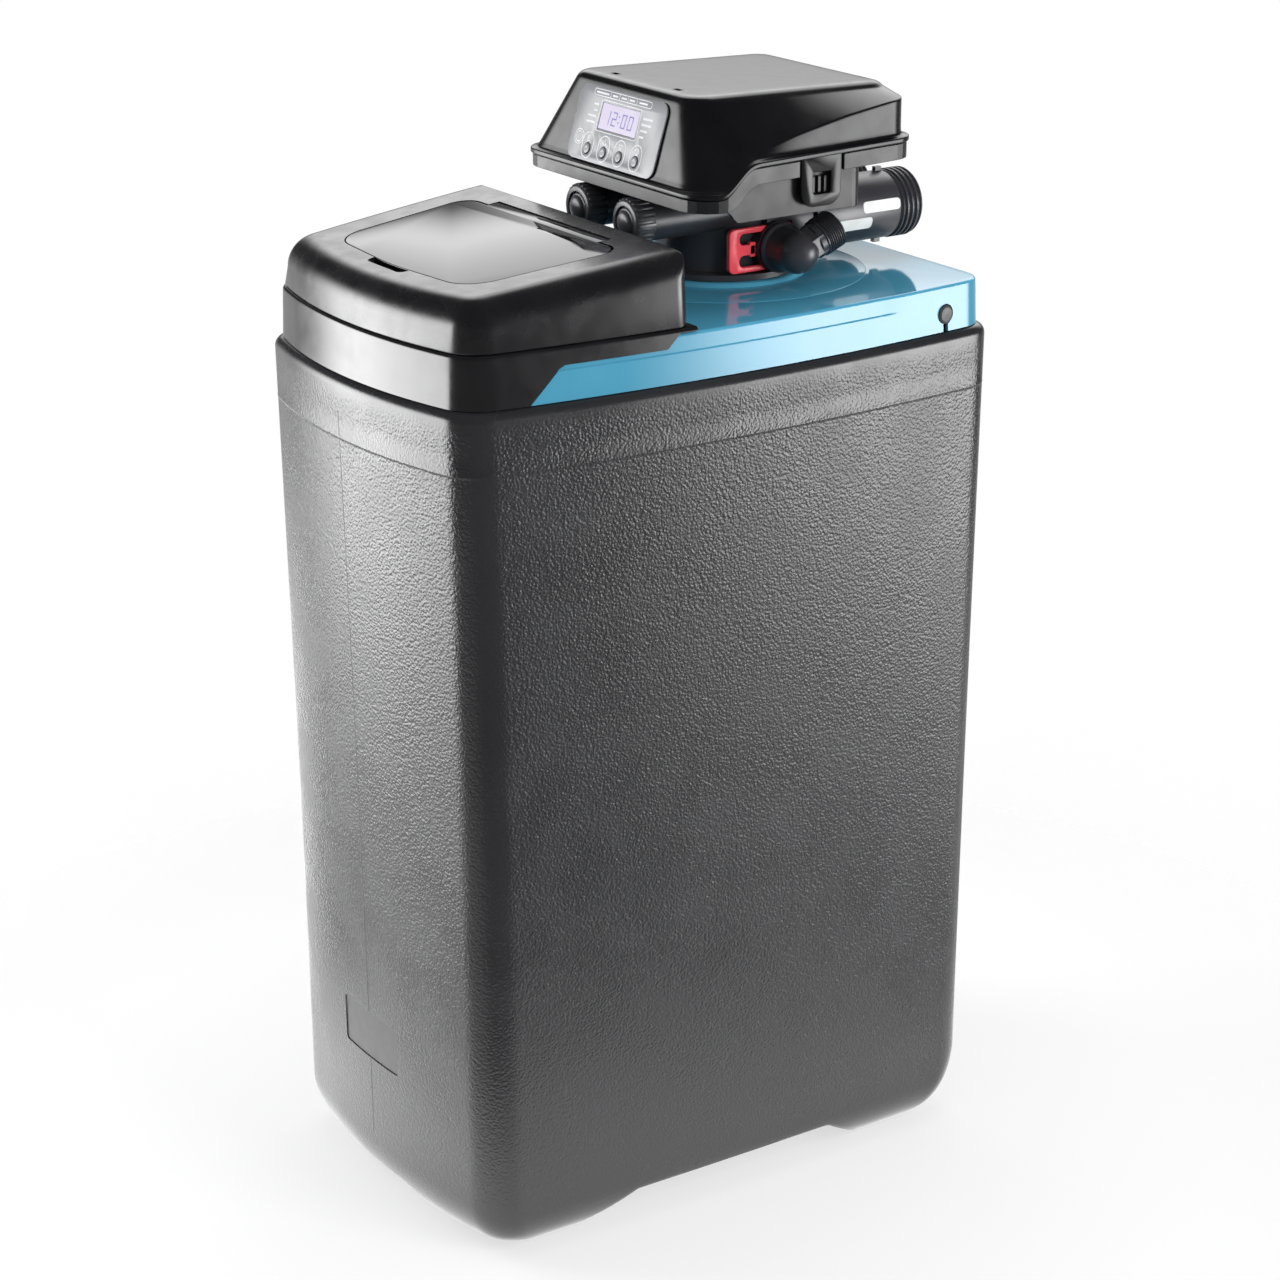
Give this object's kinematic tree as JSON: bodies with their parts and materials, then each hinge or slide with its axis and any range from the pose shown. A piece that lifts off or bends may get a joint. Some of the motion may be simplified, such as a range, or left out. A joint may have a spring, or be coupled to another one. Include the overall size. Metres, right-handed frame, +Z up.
{
  "type": "water softener",
  "caption": "Tall cabinet water softener: brine cabinet with lift-off salt lid and hinged fill flap, resin tank inside, and a control head with keypad, pipe ports and drain elbow on top.",
  "frame": {"origin": "on the floor under the middle of the cabinet", "axes": "+Z up, -Y to the front with the salt lid and keypad, +X to the right seen from the front"},
  "size_m": [0.3246, 0.4996, 0.8684],
  "materials": {
    "cabinet_plastic": "pebbled",
    "deck_blue": "gloss",
    "frame_black": "satin",
    "flap_black": "piano-black gloss",
    "cover_black": "gloss",
    "valve_black": "satin",
    "clip_red": "gloss",
    "keypad_grey": "matte",
    "display_glass": "clear",
    "button_grey": "matte",
    "board_green": "matte",
    "steel": "brushed",
    "gear_white": "matte",
    "ceramic": "ground",
    "tank_blue": "gloss",
    "resin": "beads",
    "white_plastic": "satin",
    "rubber_black": "matte",
    "float_orange": "matte"
  },
  "bodies": {
    "cabinet": {"cabinet_shell": "cabinet_plastic", "deck": "deck_blue", "lid_frame": "frame_black", "overflow_plug": "rubber_black", "valve_body": "valve_black", "left_plug": "valve_black", "right_plug": "valve_black", "inlet_pipe": "valve_black", "outlet_pipe": "valve_black", "brine_fitting": "valve_black", "neck_seal": "rubber_black", "head_base": "valve_black", "head_screws": "steel", "drive_motor": "steel", "fixed_disc": "ceramic", "resin_tank": "tank_blue", "tank_foot": "rubber_black", "resin_bed": "resin", "riser_tube": "white_plastic", "lower_strainer": "white_plastic", "upper_strainer": "white_plastic", "brine_well": "white_plastic", "brine_rod": "white_plastic", "air_check": "white_plastic", "float_stops": "rubber_black"},
    "lid": {"salt_lid": "frame_black", "flap_pin": "steel"},
    "flap": {"fill_flap": "flap_black"},
    "left_ring": {"left_cap": "valve_black"},
    "right_ring": {"right_cap": "valve_black"},
    "turbine": {"meter_turbine": "white_plastic"},
    "elbow": {"drain_elbow": "valve_black", "drain_seal": "rubber_black"},
    "clip": {"drain_clip": "clip_red"},
    "cover": {"head_cover": "cover_black", "keypad": "keypad_grey", "display": "display_glass", "circuit_board": "board_green"},
    "time_key": {"time_button": "button_grey"},
    "up_key": {"up_button": "button_grey"},
    "down_key": {"down_button": "button_grey"},
    "regen_key": {"regen_button": "button_grey"},
    "pinion": {"motor_pinion": "gear_white"},
    "gear": {"drive_gear": "gear_white", "moving_disc": "ceramic"},
    "well_cap": {"brine_well_cap": "frame_black"},
    "float": {"brine_float": "float_orange"}
  },
  "joints": [
    {"name": "lid_lift", "type": "slide", "parent": "cabinet", "child": "lid", "axis": [0, 0, 1], "range_m": [0, 0.12]},
    {"name": "flap_hinge", "type": "hinge", "parent": "lid", "child": "flap", "pos_m": [0, -0.06558, 0.76878], "axis": [-1, 0, 0], "range_deg": [0, 100]},
    {"name": "left_ring_turn", "type": "hinge", "parent": "cabinet", "child": "left_ring", "pos_m": [-0.033, -0.01, 0.7713], "axis": [0, -1, 0], "continuous": true},
    {"name": "right_ring_turn", "type": "hinge", "parent": "cabinet", "child": "right_ring", "pos_m": [0.033, -0.01, 0.7713], "axis": [0, -1, 0], "continuous": true},
    {"name": "turbine_spin", "type": "hinge", "parent": "cabinet", "child": "turbine", "pos_m": [0.033, 0.2045, 0.7575], "axis": [0, 1, 0], "continuous": true},
    {"name": "elbow_swivel", "type": "hinge", "parent": "cabinet", "child": "elbow", "pos_m": [0.06, 0.1035, 0.7428], "axis": [1, 0, 0], "range_deg": [-28, 0]},
    {"name": "clip_pull", "type": "slide", "parent": "cabinet", "child": "clip", "axis": [0, -1, 0], "range_m": [0, 0.06]},
    {"name": "cover_lift", "type": "slide", "parent": "cabinet", "child": "cover", "axis": [0, 0, 1], "range_m": [0, 0.1]},
    {"name": "time_press", "type": "slide", "parent": "cover", "child": "time_key", "axis": [0, 0.9563, -0.2924], "range_m": [0, 0.0008], "stiffness_N_per_m": 1500},
    {"name": "up_press", "type": "slide", "parent": "cover", "child": "up_key", "axis": [0, 0.9563, -0.2924], "range_m": [0, 0.0008], "stiffness_N_per_m": 1500},
    {"name": "down_press", "type": "slide", "parent": "cover", "child": "down_key", "axis": [0, 0.9563, -0.2924], "range_m": [0, 0.0008], "stiffness_N_per_m": 1500},
    {"name": "regen_press", "type": "slide", "parent": "cover", "child": "regen_key", "axis": [0, 0.9563, -0.2924], "range_m": [0, 0.0008], "stiffness_N_per_m": 1500},
    {"name": "gear_spin", "type": "hinge", "parent": "cabinet", "child": "gear", "pos_m": [0, 0.09, 0.816], "axis": [0, 0, 1], "continuous": true},
    {"name": "pinion_spin", "type": "hinge", "parent": "cabinet", "child": "pinion", "pos_m": [0, 0.05, 0.816], "axis": [0, 0, 1], "continuous": true},
    {"name": "well_cap_lift", "type": "slide", "parent": "cabinet", "child": "well_cap", "axis": [0, 0, 1], "range_m": [0, 0.06]},
    {"name": "float_rise", "type": "slide", "parent": "cabinet", "child": "float", "axis": [0, 0, 1], "range_m": [0, 0.104]}
  ],
  "couplings": [
    {"joint": "pinion_spin", "follows": "gear_spin", "ratio": -3}
  ]
}
